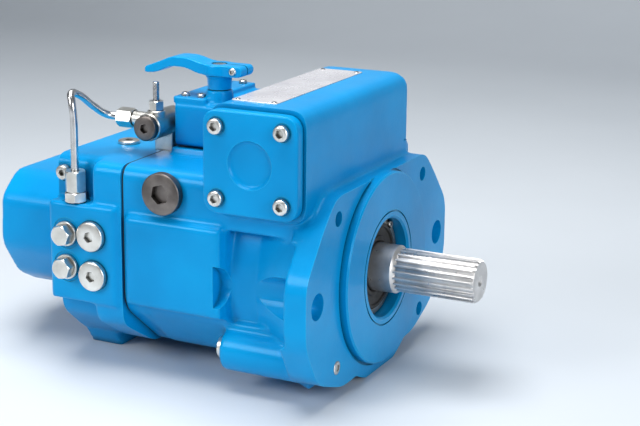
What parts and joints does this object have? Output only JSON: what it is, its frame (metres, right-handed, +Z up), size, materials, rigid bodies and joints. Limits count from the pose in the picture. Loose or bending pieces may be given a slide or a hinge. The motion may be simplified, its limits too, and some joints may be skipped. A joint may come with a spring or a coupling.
{
  "type": "axial piston pump",
  "caption": "Swashplate axial piston pump with splined shaft, transverse servo cylinder, lever control, pressure cut-off valve and rear charge pump.",
  "frame": {"origin": "centre of the bounding box in X and Y, at the level that the flange and the foot of the port plate stand on", "axes": "+X along the drive shaft, out of the housing; +Z up; the plugs of the port plate and the near servo cover look towards -Y"},
  "size_m": [0.408, 0.266, 0.2445],
  "materials": {
    "blue_paint": "glossy sprayed enamel over rough cast iron",
    "zinc_plate": "zinc plated steel, satin",
    "dark_plug": "black oxide steel, satin",
    "bright_steel": "ground or drawn steel",
    "grey_iron": "machined cast iron",
    "bronze": "machined bronze",
    "seal_rubber": "nitrile rubber in a steel case",
    "gasket_sheet": "thin gasket sheet"
  },
  "bodies": {
    "root": {"housing": "blue_paint", "port_plate": "blue_paint", "port_gasket": "gasket_sheet", "charge_pump_housing": "blue_paint", "charge_pump_cover": "blue_paint", "servo_cover_near": "blue_paint", "servo_cover_far": "blue_paint", "servo_cover_screw_1": "zinc_plate", "servo_cover_screw_2": "zinc_plate", "servo_cover_screw_3": "zinc_plate", "servo_cover_screw_4": "zinc_plate", "side_plug": "dark_plug", "test_port_plug": "zinc_plate", "drain_plug": "zinc_plate", "hex_plug_upper": "zinc_plate", "hex_plug_lower": "zinc_plate", "socket_plug_upper": "zinc_plate", "socket_plug_lower": "zinc_plate", "control_housing": "blue_paint", "cutoff_valve_body": "zinc_plate", "cutoff_valve_plug": "dark_plug", "setting_screw": "bright_steel", "setting_locknut": "zinc_plate", "pressure_pipe": "bright_steel", "pipe_nut_upper": "zinc_plate", "pipe_nut_lower": "zinc_plate", "pipe_fitting": "zinc_plate", "shaft_seal": "seal_rubber", "retaining_ring": "grey_iron", "front_bearing": "bright_steel", "rear_bearing": "bright_steel", "valve_plate": "bronze"},
    "shaft": {"drive_shaft": "bright_steel", "cylinder_block": "grey_iron", "charge_rotor": "bright_steel"},
    "ring": {"charge_ring": "grey_iron"},
    "swash": {"swashplate": "grey_iron"},
    "retainer": {"retaining_plate": "bright_steel"},
    "servo": {"servo_piston": "bright_steel"},
    "lever": {"control_lever": "blue_paint", "lever_shaft": "bright_steel"},
    "spool": {"control_spool": "bright_steel"},
    "slipper_1_body": {"slipper_1": "bronze"},
    "slipper_2_body": {"slipper_2": "bronze"},
    "slipper_3_body": {"slipper_3": "bronze"},
    "slipper_4_body": {"slipper_4": "bronze"},
    "slipper_5_body": {"slipper_5": "bronze"},
    "slipper_6_body": {"slipper_6": "bronze"},
    "slipper_7_body": {"slipper_7": "bronze"},
    "slipper_8_body": {"slipper_8": "bronze"},
    "slipper_9_body": {"slipper_9": "bronze"},
    "piston_1_body": {"piston_1": "bright_steel"},
    "piston_2_body": {"piston_2": "bright_steel"},
    "piston_3_body": {"piston_3": "bright_steel"},
    "piston_4_body": {"piston_4": "bright_steel"},
    "piston_5_body": {"piston_5": "bright_steel"},
    "piston_6_body": {"piston_6": "bright_steel"},
    "piston_7_body": {"piston_7": "bright_steel"},
    "piston_8_body": {"piston_8": "bright_steel"},
    "piston_9_body": {"piston_9": "bright_steel"}
  },
  "joints": [
    {"name": "shaft_spin", "type": "hinge", "parent": "root", "child": "shaft", "pos_m": [0.122, 0, 0.084], "axis": [1, 0, 0], "continuous": true},
    {"name": "charge_ring_spin", "type": "hinge", "parent": "root", "child": "ring", "pos_m": [-0.132, 0.0026, 0.084], "axis": [1, 0, 0], "continuous": true},
    {"name": "swash_tilt", "type": "hinge", "parent": "root", "child": "swash", "pos_m": [0.022, 0, 0.084], "axis": [0, 0, 1], "range_deg": [-15, 15], "stiffness_Nm_per_rad": 5},
    {"name": "servo_slide", "type": "slide", "parent": "root", "child": "servo", "axis": [0, 1, 0], "range_m": [-0.0125, 0.0125]},
    {"name": "lever_swing", "type": "hinge", "parent": "root", "child": "lever", "pos_m": [-0.004, -0.034, 0.236], "axis": [0, 0, 1], "range_deg": [-30, 30], "stiffness_Nm_per_rad": 0.3},
    {"name": "spool_slide", "type": "slide", "parent": "root", "child": "spool", "axis": [1, 0, 0], "range_m": [-0.0045, 0.0045]},
    {"name": "retainer_spin", "type": "hinge", "parent": "swash", "child": "retainer", "pos_m": [0.022, 0, 0.084], "axis": [1, 0, 0], "continuous": true},
    {"name": "slipper_1_spin", "type": "hinge", "parent": "retainer", "child": "slipper_1_body", "pos_m": [0.022, 0.042, 0.084], "axis": [1, 0, 0], "continuous": true},
    {"name": "slipper_2_spin", "type": "hinge", "parent": "retainer", "child": "slipper_2_body", "pos_m": [0.022, 0.03217, 0.111], "axis": [1, 0, 0], "continuous": true},
    {"name": "slipper_3_spin", "type": "hinge", "parent": "retainer", "child": "slipper_3_body", "pos_m": [0.022, 0.00729, 0.12536], "axis": [1, 0, 0], "continuous": true},
    {"name": "slipper_4_spin", "type": "hinge", "parent": "retainer", "child": "slipper_4_body", "pos_m": [0.022, -0.021, 0.12037], "axis": [1, 0, 0], "continuous": true},
    {"name": "slipper_5_spin", "type": "hinge", "parent": "retainer", "child": "slipper_5_body", "pos_m": [0.022, -0.03947, 0.09836], "axis": [1, 0, 0], "continuous": true},
    {"name": "slipper_6_spin", "type": "hinge", "parent": "retainer", "child": "slipper_6_body", "pos_m": [0.022, -0.03947, 0.06964], "axis": [1, 0, 0], "continuous": true},
    {"name": "slipper_7_spin", "type": "hinge", "parent": "retainer", "child": "slipper_7_body", "pos_m": [0.022, -0.021, 0.04763], "axis": [1, 0, 0], "continuous": true},
    {"name": "slipper_8_spin", "type": "hinge", "parent": "retainer", "child": "slipper_8_body", "pos_m": [0.022, 0.00729, 0.04264], "axis": [1, 0, 0], "continuous": true},
    {"name": "slipper_9_spin", "type": "hinge", "parent": "retainer", "child": "slipper_9_body", "pos_m": [0.022, 0.03217, 0.057], "axis": [1, 0, 0], "continuous": true},
    {"name": "piston_1_knuckle", "type": "hinge", "parent": "slipper_1_body", "child": "piston_1_body", "pos_m": [0.022, 0.042, 0.084], "axis": [0, 0, 1], "range_deg": [-16, 16]},
    {"name": "piston_2_knuckle", "type": "hinge", "parent": "slipper_2_body", "child": "piston_2_body", "pos_m": [0.022, 0.03217, 0.111], "axis": [0, 0, 1], "range_deg": [-16, 16]},
    {"name": "piston_3_knuckle", "type": "hinge", "parent": "slipper_3_body", "child": "piston_3_body", "pos_m": [0.022, 0.00729, 0.12536], "axis": [0, 0, 1], "range_deg": [-16, 16]},
    {"name": "piston_4_knuckle", "type": "hinge", "parent": "slipper_4_body", "child": "piston_4_body", "pos_m": [0.022, -0.021, 0.12037], "axis": [0, 0, 1], "range_deg": [-16, 16]},
    {"name": "piston_5_knuckle", "type": "hinge", "parent": "slipper_5_body", "child": "piston_5_body", "pos_m": [0.022, -0.03947, 0.09836], "axis": [0, 0, 1], "range_deg": [-16, 16]},
    {"name": "piston_6_knuckle", "type": "hinge", "parent": "slipper_6_body", "child": "piston_6_body", "pos_m": [0.022, -0.03947, 0.06964], "axis": [0, 0, 1], "range_deg": [-16, 16]},
    {"name": "piston_7_knuckle", "type": "hinge", "parent": "slipper_7_body", "child": "piston_7_body", "pos_m": [0.022, -0.021, 0.04763], "axis": [0, 0, 1], "range_deg": [-16, 16]},
    {"name": "piston_8_knuckle", "type": "hinge", "parent": "slipper_8_body", "child": "piston_8_body", "pos_m": [0.022, 0.00729, 0.04264], "axis": [0, 0, 1], "range_deg": [-16, 16]},
    {"name": "piston_9_knuckle", "type": "hinge", "parent": "slipper_9_body", "child": "piston_9_body", "pos_m": [0.022, 0.03217, 0.057], "axis": [0, 0, 1], "range_deg": [-16, 16]}
  ],
  "couplings": [
    {"joint": "charge_ring_spin", "follows": "shaft_spin", "ratio": 0.85714},
    {"joint": "retainer_spin", "follows": "shaft_spin", "ratio": 1},
    {"joint": "servo_slide", "follows": "swash_tilt", "m_per_rad": 0.046},
    {"joint": "spool_slide", "follows": "lever_swing", "m_per_rad": -0.008},
    {"joint": "slipper_1_spin", "follows": "shaft_spin", "ratio": -1},
    {"joint": "slipper_2_spin", "follows": "shaft_spin", "ratio": -1},
    {"joint": "slipper_3_spin", "follows": "shaft_spin", "ratio": -1},
    {"joint": "slipper_4_spin", "follows": "shaft_spin", "ratio": -1},
    {"joint": "slipper_5_spin", "follows": "shaft_spin", "ratio": -1},
    {"joint": "slipper_6_spin", "follows": "shaft_spin", "ratio": -1},
    {"joint": "slipper_7_spin", "follows": "shaft_spin", "ratio": -1},
    {"joint": "slipper_8_spin", "follows": "shaft_spin", "ratio": -1},
    {"joint": "slipper_9_spin", "follows": "shaft_spin", "ratio": -1},
    {"joint": "piston_1_knuckle", "follows": "swash_tilt", "ratio": -1},
    {"joint": "piston_2_knuckle", "follows": "swash_tilt", "ratio": -1},
    {"joint": "piston_3_knuckle", "follows": "swash_tilt", "ratio": -1},
    {"joint": "piston_4_knuckle", "follows": "swash_tilt", "ratio": -1},
    {"joint": "piston_5_knuckle", "follows": "swash_tilt", "ratio": -1},
    {"joint": "piston_6_knuckle", "follows": "swash_tilt", "ratio": -1},
    {"joint": "piston_7_knuckle", "follows": "swash_tilt", "ratio": -1},
    {"joint": "piston_8_knuckle", "follows": "swash_tilt", "ratio": -1},
    {"joint": "piston_9_knuckle", "follows": "swash_tilt", "ratio": -1}
  ]
}
